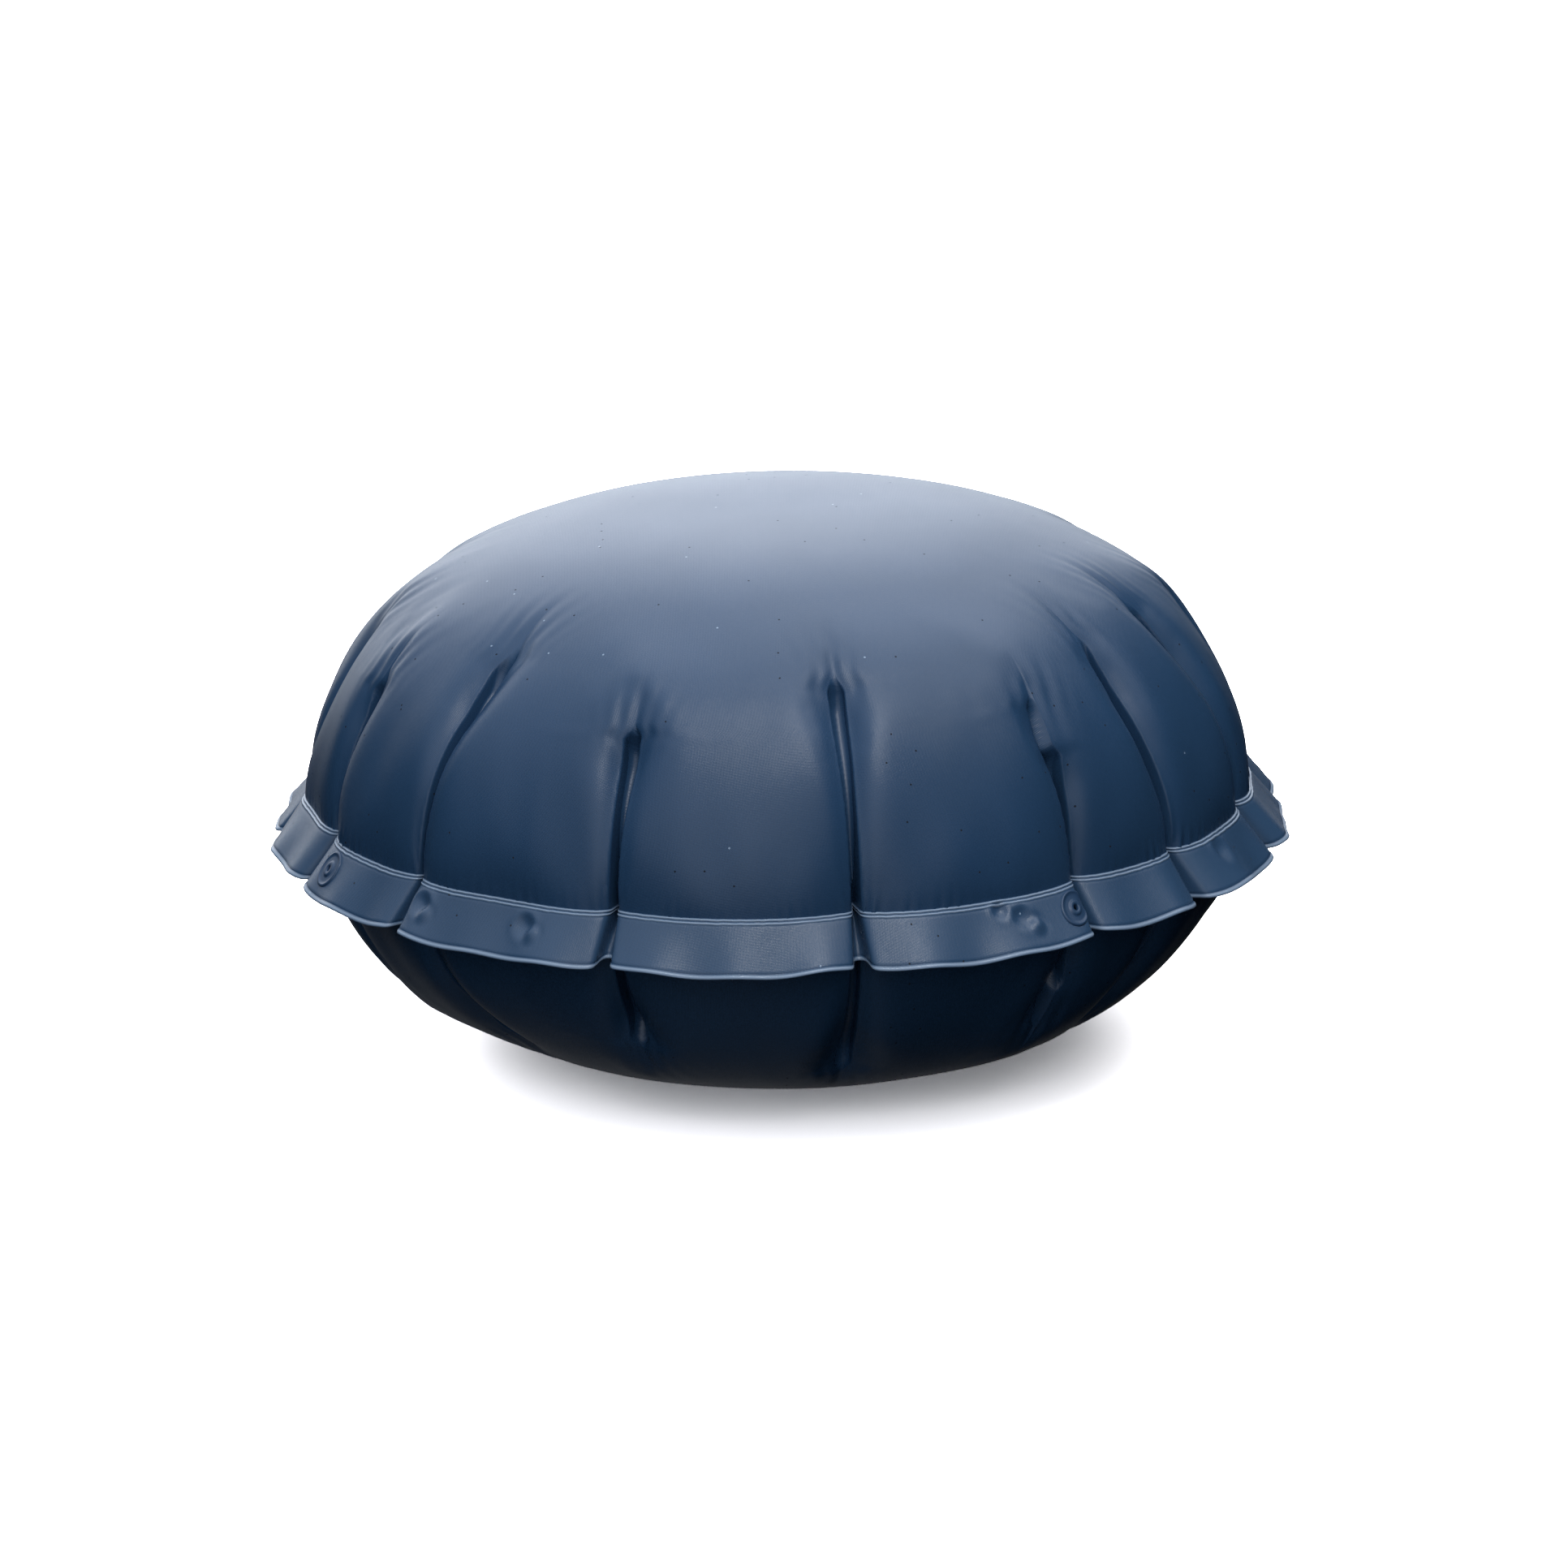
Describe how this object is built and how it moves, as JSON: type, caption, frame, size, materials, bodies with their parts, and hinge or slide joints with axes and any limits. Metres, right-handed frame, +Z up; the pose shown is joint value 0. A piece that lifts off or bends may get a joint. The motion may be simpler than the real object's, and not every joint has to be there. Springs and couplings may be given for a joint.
{
  "type": "inflatable pool cover pillow",
  "caption": "Round inflated vinyl air pillow with a drooping welded flange, tie eyelets and a push-in air valve; floats under a winter pool or spa cover to hold it up.",
  "frame": {"origin": "on the floor, below the centre of the pillow", "axes": "+Z up along the pillow's round axis, -Y front, the air valve at the back (+Y)"},
  "size_m": [0.9182, 0.9182, 0.491],
  "materials": {
    "vinyl_sheet": "satin, finely embossed PVC vinyl",
    "eyelet_vinyl": "satin moulded PVC vinyl",
    "valve_vinyl": "satin moulded soft PVC",
    "flap_vinyl": "soft matt PVC"
  },
  "bodies": {
    "pillow": {"top_sheet": "vinyl_sheet", "bottom_sheet": "vinyl_sheet", "rim_flange": "vinyl_sheet", "tie_eyelet_1_upper": "eyelet_vinyl", "tie_eyelet_2_upper": "eyelet_vinyl", "tie_eyelet_3_upper": "eyelet_vinyl", "tie_eyelet_4_upper": "eyelet_vinyl", "tie_eyelet_1_lower": "eyelet_vinyl", "tie_eyelet_2_lower": "eyelet_vinyl", "tie_eyelet_3_lower": "eyelet_vinyl", "tie_eyelet_4_lower": "eyelet_vinyl", "valve_base": "valve_vinyl"},
    "plug": {"valve_plug": "valve_vinyl"},
    "flap": {"check_flap": "flap_vinyl"},
    "cap": {"valve_cap": "valve_vinyl"}
  },
  "joints": [
    {"name": "plug_pull", "type": "slide", "parent": "pillow", "child": "plug", "axis": [0, 0.6614, 0.7501], "range_m": [0, 0.024]},
    {"name": "cap_flip", "type": "hinge", "parent": "plug", "child": "cap", "pos_m": [0, 0.34586, 0.42153], "axis": [1, 0, 0], "range_deg": [0, 130]},
    {"name": "flap_swing", "type": "hinge", "parent": "plug", "child": "flap", "pos_m": [0, 0.33782, 0.40567], "axis": [-1, 0, 0], "range_deg": [0, 60], "stiffness_Nm_per_rad": 0.0003, "springref_deg": -22.92}
  ]
}
